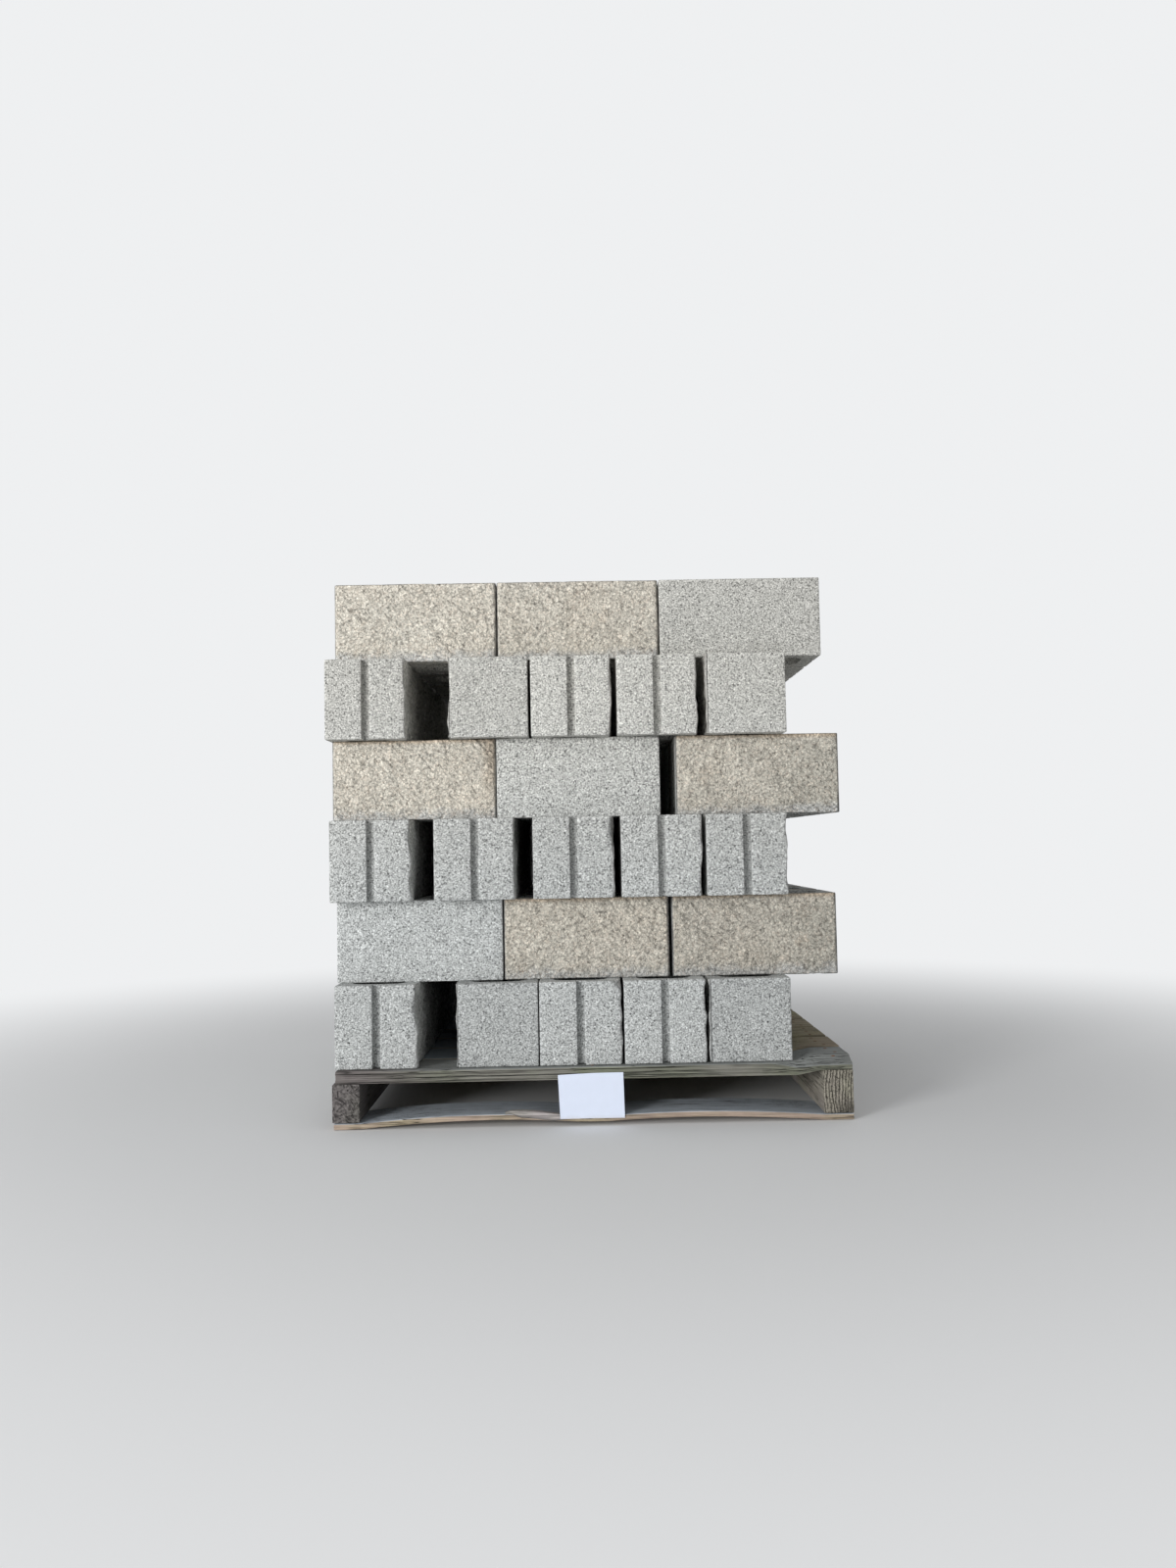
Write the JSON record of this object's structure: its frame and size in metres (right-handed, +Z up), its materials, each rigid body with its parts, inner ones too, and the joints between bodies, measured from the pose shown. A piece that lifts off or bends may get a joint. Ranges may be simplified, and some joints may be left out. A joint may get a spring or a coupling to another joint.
{
  "type": "pallet of concrete blocks",
  "caption": "Wooden stringer pallet loaded with crosswise courses of hollow two-core concrete building blocks, with a bare card on its front edge.",
  "frame": {"origin": "middle of the pallet's underside", "axes": "+X along the front to the right, +Y to the back, +Z up through the load"},
  "size_m": [1.241, 1.2491, 1.298],
  "materials": {
    "block_concrete": "matte",
    "pallet_wood": "matte",
    "card_paper": "matte"
  },
  "bodies": {
    "root": {"course_1_blocks": "block_concrete", "course_2_blocks": "block_concrete", "course_3_blocks": "block_concrete", "course_4_blocks": "block_concrete", "course_5_blocks": "block_concrete", "course_6_front_blocks": "block_concrete", "course_6_back_blocks": "block_concrete", "deck_board_1": "pallet_wood", "deck_board_2": "pallet_wood", "deck_board_3": "pallet_wood", "deck_board_4": "pallet_wood", "deck_board_5": "pallet_wood", "deck_board_6": "pallet_wood", "deck_board_7": "pallet_wood", "deck_board_8": "pallet_wood", "bottom_board_front": "pallet_wood", "bottom_board_middle": "pallet_wood", "bottom_board_back": "pallet_wood", "stringer_left": "pallet_wood", "stringer_middle": "pallet_wood", "stringer_right": "pallet_wood", "label_card": "card_paper"}
  },
  "joints": []
}
